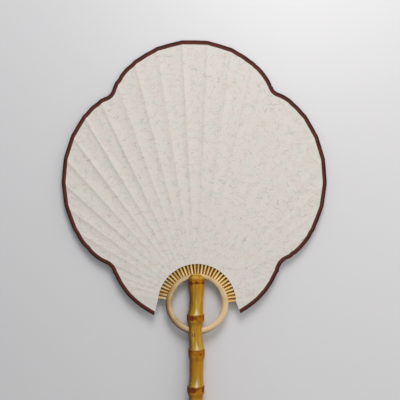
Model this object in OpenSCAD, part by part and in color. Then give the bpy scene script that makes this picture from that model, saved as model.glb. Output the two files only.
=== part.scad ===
// Round paper fan: a cane handle, a ring, radiating ribs and a scalloped leaf of two sheets.
// The butt of the handle is the origin. +Y runs up the handle to the leaf, +Z is the face.

/* [Ring] */
// Outer diameter of the ring
ring_d = 62; // [56:1:70]
// Width of the ring's flat face
ring_w = 5.8; // [5:0.2:7]
// Thickness of the ring, front to back
ring_t = 5; // [4.4:0.2:6]
// Chamfer along the ring's edges
ring_edge = 0.9; // [0.4:0.1:1.2]
// Sideways offset of the ring from the handle's axis
ring_off = 1; // [0:0.5:2]
// Depth of the sockets that hold the ribs
socket_depth = 2.5; // [1.5:0.5:3]

/* [Ribs] */
// Number of ribs
rib_count = 31; // [19:2:35]
// Angle from the first rib to the last
rib_spread = 168; // [150:0.5:170]
// Turn of all the ribs about the ring, clockwise
rib_turn = 2.3; // [0:0.1:4]
// Width of a rib
rib_w = 1.5; // [1.2:0.1:1.7]
// Width of the first and the last rib
end_rib_w = 2; // [1.6:0.1:2.6]
// Depth of a rib where it leaves the ring
rib_root_t = 3.2; // [2.4:0.1:3.8]
// Depth of a rib at its outer end
rib_tip_t = 1.1; // [0.8:0.1:1.6]
// Bare length of the ribs between the ring and the leaf
rib_bare = 8; // [6:0.5:12]
// How far the ribs stop short of the leaf's edge
rib_inset = 2; // [1.5:0.5:6]

/* [Leaf] */
// Half of the width between the upper notches
high_notch_x = 81; // [74:1:88]
// Height of the upper notches above the ring's centre
high_notch_y = 209; // [195:1:222]
// Half of the width between the lower notches
low_notch_x = 85.5; // [78:1:92]
// Height of the lower notches above the ring's centre
low_notch_y = 40; // [34:1:50]
// How far the top lobe swells past its chord
top_swell = 53.8; // [44:0.2:60]
// How far each side lobe swells past its chord
side_swell = 49; // [40:0.5:56]
// How far each small lower lobe swells past its chord
low_swell = 6.9; // [4:0.1:10]
// How far the leaf's two tips flare out past the leaf's inner arc
tip_flare = 4.2; // [2:0.2:8]
// How far the leaf's two tips hang below the ring's centre
tip_drop = 11.3; // [6:0.1:16]
// Lean of the leaf's outline, anticlockwise
leaf_lean = 1.3; // [0:0.1:3]
// Length over which each notch is rounded
notch_round = 7; // [4:0.5:10]
// Thickness of each sheet of paper
paper_t = 0.3; // [0.2:0.05:0.5]
// Sag of the paper between two ribs, as a share of their gap
paper_sag = 0.035; // [0:0.005:0.1]
// Bare paper beside the first and the last rib, at the inner arc
leaf_margin = 0.3; // [0.2:0.1:1]
// How fast the two sheets come together beyond the first and the last rib
free_sag = 0.12; // [0.04:0.02:0.3]

/* [Edge binding] */
// Width of the strip on each face
bind_w = 3.7; // [2.5:0.1:5]
// Thickness of the strip
bind_t = 0.25; // [0.15:0.05:0.5]

/* [Handle] */
// Length of the handle
handle_len = 165; // [150:1:210]
// Diameter of the cane at its nodes
node_d = 17.6; // [16.4:0.2:19]
// Diameter of the cane at its top node
top_node_d = 16; // [15:0.2:17]
// Diameter of the cane at its waists
waist_d = 14; // [12:0.2:15]
// Distance from one node to the next
node_pitch = 36.7; // [30:0.1:42]
// Distance from the handle's top to its first node
top_node = 6.2; // [5:0.1:9]
// Height of the raised band at a node
node_band = 4.2; // [3:0.1:6]
// Length over which the cane swells above a node
flare_above = 6; // [4:0.5:12]
// Length over which the cane narrows below a node
flare_below = 14; // [8:0.5:18]
// Rounding of the handle's top edge
dome_r = 4; // [2:0.5:5]
// Rounding of the handle's butt edge
butt_r = 1.2; // [0.5:0.1:2]
// How far the handle's top stops short of the ring's outer edge
top_setback = 2.5; // [1:0.1:3.5]
// Diameter of the hanging hole
hole_d = 3; // [2:0.5:4]
// Distance of the hanging hole from the butt
hole_up = 6; // [5:0.5:10]

/* [Fits] */
// Glue gap around the ring in the handle and around the ribs in the ring
fit_gap = 0.1; // [0.05:0.05:0.2]
// Gap between the paper and what it covers
paper_gap = 0.12; // [0.1:0.01:0.2]
// Gap between the two ends of the ring inside the handle
ring_split = 0.3; // [0.2:0.1:0.6]

/* [Hidden] */
// Steps of the paper between two ribs, and along a rib
panel_steps = 4;
row_steps = 6;
// Least slant, as a cosine, at which the edge is taken to cross a rib
least_across = 0.4;
// Step along the outline over which its direction is taken
outline_step = 0.005;
// Spacing of the stations along the handle's profile
profile_step = 1.65;
// Sides given to round forms
round_fn = 64;
// Powers that shape the large lobes and the small ones
lobe_power = 1.3;
low_power = 1.1;
// Reach of a cut past the face it opens
over = 1;

ring_ro = ring_d / 2;
ring_ri = ring_ro - ring_w;
ring_y = handle_len - (ring_ro - top_setback);
leaf_ri = ring_ro + rib_bare;
rib_pitch = rib_spread / (rib_count - 1);
rib_first = rib_turn - rib_spread / 2;
rib_start = ring_ro - socket_depth;
sheet_low = paper_gap / 2;

// Corners of the outline about the ring's centre, from the left tip clockwise to the right tip
tip_x = leaf_ri + tip_flare;
corners = [for (c = [
    [-tip_x, -tip_drop], [-low_notch_x, low_notch_y], [-high_notch_x, high_notch_y],
    [high_notch_x, high_notch_y], [low_notch_x, low_notch_y], [tip_x, -tip_drop]
]) turned(c, leaf_lean)];
swells = [low_swell, side_swell, top_swell, side_swell, low_swell];
last_lobe = len(swells) - 1;

function rib_name(i) = str("rib_", i < 9 ? "0" : "", i + 1);
function turned(p, a) = [p.x * cos(a) - p.y * sin(a), p.x * sin(a) + p.y * cos(a)];
function mix(a, b, t) = a + (b - a) * t;
function clamp(x, low, high) = max(low, min(high, x));
function unit(v) = v / norm(v);
// Direction of a point about the ring's centre, clockwise from straight up
function bearing(p) = atan2(p.x, p.y);
function at_bearing(r, a) = [r * sin(a), r * cos(a)];
function rib_bearing(i) = rib_first + i * rib_pitch;

// A lobe swells from its chord. w runs from -1 to 1 along it
function is_low(k) = k == 0 || k == last_lobe;
function lobe_point(k, w) =
    let (a = corners[k], b = corners[k + 1], half = (b - a) / 2, out = unit([-half.y, half.x]))
    (a + b) / 2 + (is_low(k)
        ? half * w + out * swells[k] * pow(1 - w * w, low_power)
        : half * sin(90 * w) + out * swells[k] * pow(max(0, cos(90 * w)), lobe_power));

// Share of a lobe that its rounded notch takes
function notch_share(k) = is_low(k)
    ? notch_round / norm(corners[k + 1] - corners[k])
    : pow(notch_round / swells[k], 1 / lobe_power) / PI;
function sharp_outline(s) =
    let (k = clamp(floor(s), 0, last_lobe)) lobe_point(k, clamp(2 * (s - k) - 1, -1, 1));
// Outline at s, which runs from 0 at the left tip to 5 at the right, with rounded notches
function outline(s) =
    let (
        c = clamp(round(s), 1, last_lobe),
        before = notch_share(c - 1), after = notch_share(c),
        t = (s - c + before) / (before + after)
    )
    t <= 0 || t >= 1
        ? sharp_outline(s)
        : mix(mix(sharp_outline(c - before), corners[c], t),
              mix(corners[c], sharp_outline(c + after), t), t);
// Place on the outline that lies in a given direction, by halving
function outline_at(a, low = 0, high = last_lobe + 1, turns = 22) =
    let (mid = (low + high) / 2)
    turns == 0 ? mid
        : bearing(outline(mid)) < a ? outline_at(a, mid, high, turns - 1)
        : outline_at(a, low, mid, turns - 1);

// Outward direction across the outline at s
function outline_out(s) =
    let (d = outline(s + outline_step) - outline(s - outline_step)) unit([-d.y, d.x]);

function rib_width(i) = i == 0 || i == rib_count - 1 ? end_rib_w : rib_w;
rib_places = [for (i = [0:rib_count - 1]) outline_at(rib_bearing(i))];
// A rib ends where its nearer corner is the inset away from the edge
rib_ends = [for (i = [0:rib_count - 1]) let (
    s = rib_places[i],
    across = outline_out(s) * at_bearing(1, rib_bearing(i)),
    corner = rib_width(i) / 2 * sqrt(1 - across * across)
) norm(outline(s)) - (rib_inset + corner) / across];

// Half depth of a rib at radius r
function rib_half(i, r) =
    let (t = clamp((r - rib_start) / (rib_ends[i] - rib_start), 0, 1))
    mix(rib_root_t, rib_tip_t, t) / 2;

// Place on the outline where one side of rib i meets it. side is -1 for its left, 1 for its right
function side_place(i, side) =
    outline_at(rib_bearing(i) + side * asin(rib_width(i) / 2 / norm(outline(rib_places[i]))));
function side_bearing(i, side, bare) =
    rib_bearing(i) + side * asin((rib_width(i) / 2 + bare) / leaf_ri);

// Panel m lies between rib m - 1 and rib m. The first and the last panel have a free edge
last_rib = rib_count - 1;
function panel_from(m) = m == 0
    ? [side_bearing(0, -1, leaf_margin), 0]
    : [side_bearing(m - 1, 1, 0), side_place(m - 1, 1)];
function panel_to(m) = m == rib_count
    ? [side_bearing(last_rib, 1, leaf_margin), last_lobe + 1]
    : [side_bearing(m, -1, 0), side_place(m, -1)];

// Height of the paper's inner face in panel m, a share f across it, at a point about the ring
function paper_low(m, f, p) =
    let (
        r = norm(p),
        end_rib = m == 0 ? 0 : last_rib,
        free = m == 0 || m == rib_count,
        half = free ? rib_half(end_rib, r) : mix(rib_half(m - 1, r), rib_half(m, r), f),
        beside = abs(p.x * cos(rib_bearing(end_rib)) - p.y * sin(rib_bearing(end_rib))),
        gap = r * rib_pitch * PI / 180 - rib_w,
        sag = free
            ? free_sag * max(beside - end_rib_w / 2, 0)
            : 4 * paper_sag * gap * f * (1 - f)
    )
    sheet_low + max(half - sag, 0);

// Columns of the leaf, each with its panel, its share across it, its inner end and its outer end
column_ends = [for (m = [0:rib_count]) let (from = panel_from(m), to = panel_to(m))
    for (k = [0:panel_steps]) let (f = k / panel_steps, at = mix(from, to, f))
        [m, f, at_bearing(leaf_ri, at[0]), outline(at[1])]];
column_last = len(column_ends) - 1;
// Outward direction across the edge at column j, along the cut at the two tips
function edge_out(j) =
    j == 0 || j == column_last
        ? unit(column_ends[j][3] - column_ends[j][2])
        : let (d = column_ends[j + 1][3] - column_ends[j - 1][3]) unit([-d.y, d.x]);
// Point of column j that lies under the inner edge of the binding
function under_leg(j) =
    let (
        inner = column_ends[j][2],
        edge = column_ends[j][3],
        along = unit(edge - inner)
    )
    edge - along * bind_w / max(edge_out(j) * along, least_across);
// Points of column j from the inner arc to the edge, with their heights on the inner face
columns = [for (j = [0:column_last]) let (c = column_ends[j], leg = under_leg(j))
    [for (k = [0:row_steps]) let (p = k < row_steps ? mix(c[2], leg, k / (row_steps - 1)) : c[3])
        [p.x, p.y, paper_low(c[0], c[1], p)]]];

// Skin between rings of points, one ring to each row. A ring runs out along one face and back
// along the other, so each end is capped by quads between its two runs
function skin_faces(rows, around) = concat(
    [for (j = [0:rows - 2], k = [0:around - 1]) let (n = (k + 1) % around)
        [j * around + k, (j + 1) * around + n, j * around + n]],
    [for (j = [0:rows - 2], k = [0:around - 1]) let (n = (k + 1) % around)
        [j * around + k, (j + 1) * around + k, (j + 1) * around + n]],
    [for (k = [0:around / 2 - 2]) [k, k + 1, around - 2 - k, around - 1 - k]],
    [for (k = [0:around / 2 - 2], base = (rows - 1) * around)
        [base + around - 1 - k, base + around - 2 - k, base + k + 1, base + k]]
);

// Moves its children to the ring's centre
module at_ring() {
    translate([ring_off, ring_y, 0]) children();
}

// Turned outline of the ring, larger all round by a gap
module ring_body(gap) {
    ri = ring_ri - gap;
    ro = ring_ro + gap;
    h = ring_t / 2 + gap;
    e = ring_edge;
    rotate_extrude($fn = round_fn)
        polygon([
            [ri + e, -h], [ro - e, -h], [ro, -h + e], [ro, h - e],
            [ro - e, h], [ri + e, h], [ri, h - e], [ri, -h + e]
        ]);
}

// Straight rib, tapering in depth from the ring to the leaf's edge
module rib_bar(i, width, gap) {
    root = rib_root_t / 2 + gap;
    tip = rib_tip_t / 2 + gap;
    from = rib_start - gap;
    rotate([0, 0, -rib_bearing(i)])
        translate([-width / 2 - gap, 0, 0])
            rotate([90, 0, 90])
                linear_extrude(width + 2 * gap)
                    polygon([[from, -root], [rib_ends[i], -tip], [rib_ends[i], tip], [from, root]]);
}

// Radius of the cane at height y above the butt
node_count = floor((handle_len - top_node) / node_pitch) + 1;
function node_y(k) = handle_len - top_node - k * node_pitch;
function node_swell(d) =
    let (side = abs(d) - node_band / 2, reach = d > 0 ? flare_above : flare_below)
    side <= 0 ? 1 : side >= reach ? 0 : (1 + cos(180 * side / reach)) / 2;
function cane_r(y) =
    max([for (k = [0:node_count]) let (full = (k == 0 ? top_node_d : node_d) / 2)
        mix(waist_d / 2, full, node_swell(y - node_y(k)))]);
// Loss of radius at a rounded end, at a depth below that end
function end_loss(depth, r) = depth >= r ? 0 : r - sqrt(r * r - (r - depth) * (r - depth));

module cane() {
    steps = ceil(handle_len / profile_step);
    end_steps = 6;
    heights = concat(
        [for (k = [0:end_steps]) butt_r * (1 - cos(90 * k / end_steps))],
        [for (k = [1:steps - 1]) let (y = handle_len * k / steps)
            if (y > butt_r && y < handle_len - dome_r) y],
        [for (k = [end_steps:-1:0]) handle_len - dome_r * (1 - cos(90 * k / end_steps))]
    );
    rotate([-90, 0, 0])
        rotate_extrude($fn = round_fn)
            polygon(concat(
                [[0, 0]],
                [for (y = heights)
                    [cane_r(y) - end_loss(y, butt_r) - end_loss(handle_len - y, dome_r), y]],
                [[0, handle_len]]
            ));
}

module handle() {
    color("#b08a35")
        difference() {
            cane();
            at_ring() ring_body(fit_gap);
            translate([0, hole_up, 0])
                cylinder(d = hole_d, h = node_d + 2 * over, center = true, $fn = round_fn);
        }
}

module ring() {
    color("#cdb489")
        at_ring()
            difference() {
                ring_body(0);
                for (i = [0:rib_count - 1]) rib_bar(i, rib_width(i), fit_gap);
                translate([-ring_split / 2 - ring_off, -ring_ro - over, -ring_t])
                    cube([ring_split, ring_w + 2 * over, 2 * ring_t]);
            }
}

module rib(i) {
    color("#d9c48c")
        at_ring() rib_bar(i, rib_width(i), 0);
}

// One sheet of the leaf, a closed skin whose rings run out on its lower face and back on its upper
module leaf_sheet() {
    points = [for (c = columns) each concat(
        c,
        [for (k = [row_steps:-1:0]) c[k] + [0, 0, paper_t]]
    )];
    at_ring() polyhedron(points, skin_faces(column_last + 1, 2 * (row_steps + 1)), convexity = 8);
}

module leaf_front() {
    color("#e8e4d8") leaf_sheet();
}

module leaf_back() {
    color("#e4dfd2") mirror([0, 0, 1]) leaf_sheet();
}

// Strip folded round the edge: a channel whose legs lie on the two sheets
module edge_binding() {
    lift = paper_t + paper_gap;
    points = [for (j = [0:column_last]) let (
        out = edge_out(j),
        leg = columns[j][row_steps - 1] + [0, 0, lift],
        edge = columns[j][row_steps] + [0, 0, lift],
        inside = edge + paper_gap * [out.x, out.y, 0],
        outside = inside + bind_t * [out.x, out.y, 0]
    ) each [
        leg,
        inside,
        [inside.x, inside.y, -inside.z],
        [leg.x, leg.y, -leg.z],
        [leg.x, leg.y, -leg.z - bind_t],
        [outside.x, outside.y, -inside.z - bind_t],
        [outside.x, outside.y, inside.z + bind_t],
        [leg.x, leg.y, leg.z + bind_t]
    ]];
    color("#5a2c26")
        at_ring() polyhedron(points, skin_faces(column_last + 1, 8), convexity = 8);
}

handle();
ring();
for (i = [0:rib_count - 1])
    rib(i);
leaf_front();
leaf_back();
edge_binding();
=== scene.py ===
import math
import random

import bmesh
import bpy
from mathutils import Matrix, Vector, noise


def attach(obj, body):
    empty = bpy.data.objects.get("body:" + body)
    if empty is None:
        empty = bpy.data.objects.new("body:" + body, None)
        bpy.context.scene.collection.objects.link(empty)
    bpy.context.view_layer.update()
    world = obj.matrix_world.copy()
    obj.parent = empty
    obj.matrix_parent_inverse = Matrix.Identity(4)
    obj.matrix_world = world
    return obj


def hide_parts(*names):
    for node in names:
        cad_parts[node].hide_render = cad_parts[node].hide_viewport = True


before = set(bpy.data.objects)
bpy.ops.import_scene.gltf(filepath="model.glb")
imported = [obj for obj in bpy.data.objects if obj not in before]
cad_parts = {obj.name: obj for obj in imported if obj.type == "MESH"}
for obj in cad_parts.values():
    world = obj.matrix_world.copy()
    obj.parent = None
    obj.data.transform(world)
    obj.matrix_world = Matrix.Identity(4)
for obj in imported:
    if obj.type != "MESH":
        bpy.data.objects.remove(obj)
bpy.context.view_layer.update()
mm = 0.001
print("frame loaded,", len(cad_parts), "nodes")


# Sizes are in millimetres and angles in degrees. Bearings are clockwise from straight up,
# about the ring's centre.
centre = dict(x=1, y=136.5)

ribs = dict(
    count=31, spread=168, turn=2.3,
    width=1.5, endWidth=2.0,
    start=27.2, rootDepth=3.2, tipDepth=1.1, inset=2,
    edgeRound=0.25, bellyAt=40, belly=(2.6, 3.4, 2.0),
)

leaf = dict(
    innerRadius=39, tip=(43.2, -11.3), lowNotch=(85.5, 40), highNotch=(81, 209),
    lowSwell=6.9, sideSwell=49, topSwell=53.8, lean=1.3,
    bigPower=1.3, lowPower=1.1, notchRound=7,
    straight=0.85, bulge=0.7,                                       # edge between ribs
    thickness=0.3, gap=0.06, margin=0.3, trim=1.6, rim=0.25,
    sag=0.035, sagSpread=(0.65, 1.25), turnUp=(2.2, 3.5), freeSag=0.12,
    rightSag=0.6, rightFrom=18, rightOver=6,                        # share, first panel, panels
    innerSag=0.7, outerSag=1.7, slackFrom=50, slackOver=110,
    waver=0.08, waverSize=16, waverOver=30, least=0.05,
    acrossSteps=14, alongSteps=60,
)


def mix(a, b, t):
    return a + (b - a) * t


def clamp(x, low=0.0, high=1.0):
    return max(low, min(high, x))


def smooth(x):
    x = clamp(x)
    return x * x * (3 - 2 * x)


def atBearing(r, degrees):
    return Vector((r * math.sin(math.radians(degrees)), r * math.cos(math.radians(degrees))))


def bearingOf(p):
    return math.degrees(math.atan2(p.x, p.y))


ribPitch = ribs["spread"] / (ribs["count"] - 1)
ribFirst = ribs["turn"] - ribs["spread"] / 2
lastRib = ribs["count"] - 1


def ribBearing(i):
    return ribFirst + i * ribPitch


def ribWidth(i):
    return ribs["endWidth"] if i in (0, lastRib) else ribs["width"]


def leaned(x, y):
    a = math.radians(leaf["lean"])
    return Vector((x * math.cos(a) - y * math.sin(a), x * math.sin(a) + y * math.cos(a)))


# The leaf's outline: six corners and the five lobes that swell between them. A place on it runs
# from 0 at the left tip, by 1 to 4 at the notches, to 5 at the right tip
corners = [
    leaned(-leaf["tip"][0], leaf["tip"][1]),
    leaned(-leaf["lowNotch"][0], leaf["lowNotch"][1]),
    leaned(-leaf["highNotch"][0], leaf["highNotch"][1]),
    leaned(*leaf["highNotch"]), leaned(*leaf["lowNotch"]), leaned(*leaf["tip"]),
]
swells = [leaf["lowSwell"], leaf["sideSwell"], leaf["topSwell"], leaf["sideSwell"], leaf["lowSwell"]]


# Point of one lobe, for w from -1 at its first corner to 1 at its second
def lobePoint(k, w):
    a, b = corners[k], corners[k + 1]
    half = (b - a) / 2
    out = Vector((-half.y, half.x)).normalized()
    if k in (0, 4):
        return (a + b) / 2 + half * w + out * swells[k] * (1 - w * w) ** leaf["lowPower"]
    quarter = math.radians(90 * w)
    rise = max(0, math.cos(quarter)) ** leaf["bigPower"]
    return (a + b) / 2 + half * math.sin(quarter) + out * swells[k] * rise


def notchShare(k):
    if k in (0, 4):
        return leaf["notchRound"] / (corners[k + 1] - corners[k]).length
    return (leaf["notchRound"] / swells[k]) ** (1 / leaf["bigPower"]) / math.pi


def sharpOutline(s):
    k = int(clamp(math.floor(s), 0, 4))
    return lobePoint(k, clamp(2 * (s - k) - 1, -1, 1))


def outline(s):
    c = int(clamp(round(s), 1, 4))
    before, after = notchShare(c - 1), notchShare(c)
    t = (s - c + before) / (before + after)
    if t <= 0 or t >= 1:
        return sharpOutline(s)
    start, end = sharpOutline(c - before), sharpOutline(c + after)
    return mix(mix(start, corners[c], t), mix(corners[c], end, t), t)


def outlineAt(degrees):
    low, high = 0.0, 5.0
    for _ in range(24):                                             # halvings
        mid = (low + high) / 2
        if bearingOf(outline(mid)) < degrees:
            low = mid
        else:
            high = mid
    return (low + high) / 2


def outlineOut(s, curve=outline):
    nudge = 0.004
    d = curve(min(5, s + nudge)) - curve(max(0, s - nudge))
    return Vector((-d.y, d.x)).normalized()


ribPlaces = [outlineAt(ribBearing(i)) for i in range(ribs["count"])]


# The paper was trimmed from rib to rib, so the edge runs nearly straight across each panel. Where
# that would cut off a bulge, as at the notches, it follows the curve
def edgePoint(s):
    p = outline(s)
    i = sum(place <= s for place in ribPlaces) - 1
    if i < 0 or i >= lastRib:
        return p
    t = (s - ribPlaces[i]) / (ribPlaces[i + 1] - ribPlaces[i])
    chord = mix(outline(ribPlaces[i]), outline(ribPlaces[i + 1]), t)
    over = ((chord - p).length - leaf["bulge"]) / leaf["bulge"]
    share = leaf["straight"] * (1 - smooth(over))
    return mix(p, chord, share)


ribEnds = []
for i, s in enumerate(ribPlaces):
    across = outlineOut(s).dot(atBearing(1, ribBearing(i)))
    corner = ribWidth(i) / 2 * math.sqrt(max(0, 1 - across * across))
    ribEnds.append(outline(s).length - (ribs["inset"] + corner) / across)


def ribHalf(i, r):
    t = clamp((r - ribs["start"]) / (ribEnds[i] - ribs["start"]))
    return mix(ribs["rootDepth"], ribs["tipDepth"], t) / 2


# Each panel of paper sags a little differently, less at the right, and turns up more steeply
# towards the next rib
def rightShare(k):
    return mix(1, leaf["rightSag"], smooth((k - leaf["rightFrom"]) / leaf["rightOver"]))


dice = random.Random(11)
panelSag = [
    leaf["sag"] * dice.uniform(*leaf["sagSpread"]) * rightShare(k) for k in range(ribs["count"])]
panelPower = [dice.uniform(*leaf["turnUp"]) for _ in range(ribs["count"])]


# Height of the paper's inner face above the fan's middle plane
def paperHeight(p, side):
    r = p.length
    bearing = bearingOf(p)
    place = (bearing - ribFirst) / ribPitch
    endRib = 0 if place < 0 else lastRib
    if place < 0 or place > lastRib:
        ray = atBearing(1, ribBearing(endRib))
        beside = abs(p.x * ray.y - p.y * ray.x) if p.dot(ray) > 0 else r
        half = ribHalf(endRib, r)
        drop = leaf["freeSag"] * max(0, beside - ribWidth(endRib) / 2)
        fade = 1.0
    else:
        i = int(clamp(math.floor(place), 0, lastRib - 1))
        perStep = r * math.radians(ribPitch)
        rim = leaf["rim"] / perStep
        f = clamp((place - i - rim) / (1 - 2 * rim))
        half = mix(ribHalf(i, r), ribHalf(i + 1, r), clamp(place - i))
        power = panelPower[i]
        lowest = power ** (-1 / (power - 1))
        bow = (f - f ** power) / (lowest - lowest ** power)
        # The paper is tauter near the ring, where the ribs stand close together
        outwards = smooth((r - leaf["slackFrom"]) / leaf["slackOver"])
        slack = mix(leaf["innerSag"], leaf["outerSag"], outwards)
        drop = panelSag[i] * slack * (perStep - 2 * leaf["rim"]) * bow
        fade = bow
    # Each sheet wavers in its own way
    spot = Vector((p.x / leaf["waverSize"], p.y / leaf["waverSize"], 7 * side))
    waver = noise.noise(spot) * leaf["waver"] * fade
    low = half - drop + waver * smooth((r - leaf["innerRadius"]) / leaf["waverOver"])
    # The two sheets meet softly at the middle plane and never pass it
    least = leaf["least"]
    return leaf["gap"] + (low if low > least else least * math.exp(low / least - 1))


def linear(code):
    parts = [int(code[i:i + 2], 16) / 255 for i in (0, 2, 4)]
    return [p / 12.92 if p <= 0.04045 else ((p + 0.055) / 1.055) ** 2.4 for p in parts] + [1]


# Adds a node with its settings. Its inputs are given by name or number, or as a list in their
# order. One that is a socket is linked, any other is set
def addNode(tree, kind, inputs=(), stops=None, **settings):
    node = tree.nodes.new("ShaderNode" + kind)
    for name, value in settings.items():
        setattr(node, name, value)
    if stops:
        elements = node.color_ramp.elements
        while len(elements) < len(stops):
            elements.new(1)
        for element, (place, code) in zip(elements, stops):
            element.position = place
            element.color = linear(code)
    for socket, value in inputs.items() if isinstance(inputs, dict) else enumerate(inputs):
        if isinstance(value, bpy.types.NodeSocket):
            tree.links.new(value, node.inputs[socket])
        else:
            node.inputs[socket].default_value = value
    return node


# Two ways to mix colours: one laid over the other, or the two multiplied
laidOver = dict(data_type="RGBA")
multiplied = dict(data_type="RGBA", blend_type="MULTIPLY")


def inMetres(sizes):
    return [size * mm for size in sizes]


def patternScale(sizes):
    return tuple(1 / (size * mm) if size else 0 for size in sizes)


def startMaterial(name):
    material = bpy.data.materials.new(name)
    material.use_nodes = True
    tree = material.node_tree
    tree.nodes.clear()
    shader = addNode(tree, "BsdfPrincipled")
    addNode(tree, "OutputMaterial", {"Surface": shader.outputs[0]})
    coords = addNode(tree, "TexCoord").outputs["Object"]
    return material, tree, shader, coords


# Polar coordinates about the ring's centre, in metres: along the arc, outwards, up
def polarCoords(tree, coords, radius):
    place = addNode(tree, "Mapping", {
        0: coords, "Location": inMetres((-centre["x"], -centre["y"], 0))})
    parts = addNode(tree, "SeparateXYZ", {0: place.outputs[0]})
    turn = addNode(tree, "Math", {0: parts.outputs[0], 1: parts.outputs[1]}, operation="ARCTAN2")
    arc = addNode(tree, "Math", {0: turn.outputs[0], 1: radius * mm}, operation="MULTIPLY")
    flat = addNode(tree, "Mapping", {0: place.outputs[0], "Scale": (1, 1, 0)})
    out = addNode(tree, "VectorMath", {0: flat.outputs[0]}, operation="LENGTH")
    joined = addNode(tree, "CombineXYZ", {
        0: arc.outputs[0], 1: out.outputs["Value"], 2: parts.outputs[2]})
    return joined.outputs[0]


def finishPiece(name, bm, materials, nodes, sharp=35):
    bmesh.ops.scale(bm, vec=(mm, mm, mm), verts=bm.verts)
    bmesh.ops.recalc_face_normals(bm, faces=bm.faces)
    mesh = bpy.data.meshes.new(name)
    bm.to_mesh(mesh)
    bm.free()
    for material in materials:
        mesh.materials.append(material)
    mesh.shade_smooth()
    mesh.set_sharp_from_angle(angle=math.radians(sharp))
    piece = bpy.data.objects.new(name, mesh)
    bpy.context.scene.collection.objects.link(piece)
    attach(piece, "root")
    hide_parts(*nodes)
    return piece


# Handmade mulberry paper: matt, warm white and faintly cloudy, with a felt of very fine pale fibres
paperLook = dict(
    clear="dad4cc", warm="dbd2c9", cool="d6d3cb",
    cloud=10.0, felt=1.6, feltTone=(0.965, 1.03), grain=0.9, bump=0.35, relief=0.05,
    # The sheet is darkened a little towards its left as painted shade
    paperShadeOver=(-130, 40), paperShade=0.95, roughness=0.88, gloss=0.25,
    core=0.35, breaks=1.6, soft=0.06,                               # of each fibre
    fibres=[
        dict(colour="a39a8e", curl=5.0, width=0.020, turn=20, shift=0.3, keep=0.46, strength=0.14),
        dict(colour="b99a8c", curl=4.0, width=0.022, turn=75, shift=1.7, keep=0.48, strength=0.14),
        dict(colour="a8a78c", curl=6.0, width=0.018, turn=130, shift=3.1, keep=0.48, strength=0.12),
    ],
)


def makePaper(name, shift):
    look = paperLook
    material, tree, shader, coords = startMaterial(name)
    sheet = addNode(tree, "Mapping", {
        0: coords, "Location": (shift, shift, 0), "Scale": (1, 1, 0)}).outputs[0]
    cloud = addNode(tree, "TexNoise", {
        "Vector": sheet, "Scale": 1 / (look["cloud"] * mm), "Detail": 3.0})
    colour = addNode(tree, "ValToRGB", {0: cloud.outputs[0]}, stops=[
        (0.34, look["cool"]), (0.5, look["clear"]), (0.66, look["warm"])]).outputs[0]
    raised = None
    for fibre in look["fibres"]:
        place = addNode(tree, "Mapping", {
            0: sheet, "Location": (fibre["shift"], fibre["shift"], 0),
            "Rotation": (0, 0, math.radians(fibre["turn"]))}).outputs[0]
        curl = addNode(tree, "TexNoise", {
            "Vector": place, "Scale": 1 / (fibre["curl"] * mm), "Detail": 1.5, "Distortion": 0.5})
        level = addNode(tree, "Math", {0: curl.outputs[0], 1: 0.5}, operation="SUBTRACT")
        away = addNode(tree, "Math", {0: level.outputs[0]}, operation="ABSOLUTE")
        line = addNode(tree, "MapRange", [
            away.outputs[0], fibre["width"] * look["core"], fibre["width"], 1.0, 0.0])
        pieces = addNode(tree, "TexNoise", {
            "Vector": place, "Scale": 1 / (fibre["curl"] * look["breaks"] * mm), "Detail": 0.0})
        kept = addNode(tree, "MapRange", [
            pieces.outputs[0], fibre["keep"], fibre["keep"] + look["soft"], 0.0, fibre["strength"]])
        mask = addNode(
            tree, "Math", [line.outputs[0], kept.outputs[0]], operation="MULTIPLY").outputs[0]
        dyed = {0: mask, 6: colour, 7: linear(fibre["colour"])}
        colour = addNode(tree, "Mix", dyed, **laidOver).outputs[2]
        if raised:
            raised = addNode(tree, "Math", [raised, mask], operation="ADD").outputs[0]
        else:
            raised = mask
    felt = addNode(tree, "TexNoise", {
        "Vector": sheet, "Scale": 1 / (look["felt"] * mm), "Detail": 3.0})
    felted = addNode(tree, "MapRange", [felt.outputs[0], 0.3, 0.7, *look["feltTone"]]).outputs[0]
    # Painted shade darkens the sheet a little towards its left, away from the side light
    across = addNode(tree, "SeparateXYZ", {0: coords}).outputs[0]
    paperShade = addNode(tree, "MapRange", [across, *inMetres(look["paperShadeOver"]), look["paperShade"], 1.0])
    tone = addNode(tree, "Math", [felted, paperShade.outputs[0]], operation="MULTIPLY").outputs[0]
    colour = addNode(tree, "Mix", {0: 1.0, 6: colour, 7: tone}, **multiplied).outputs[2]
    grain = addNode(tree, "TexNoise", {
        "Vector": sheet, "Scale": 1 / (look["grain"] * mm), "Detail": 2.0})
    height = addNode(tree, "Math", [raised, grain.outputs[0]], operation="ADD")
    bump = addNode(tree, "Bump", {
        "Height": height.outputs[0], "Strength": look["bump"], "Distance": look["relief"] * mm})
    tree.links.new(colour, shader.inputs["Base Color"])
    tree.links.new(bump.outputs[0], shader.inputs["Normal"])
    shader.inputs["Roughness"].default_value = look["roughness"]
    shader.inputs["Specular IOR Level"].default_value = look["gloss"]
    return material


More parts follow.
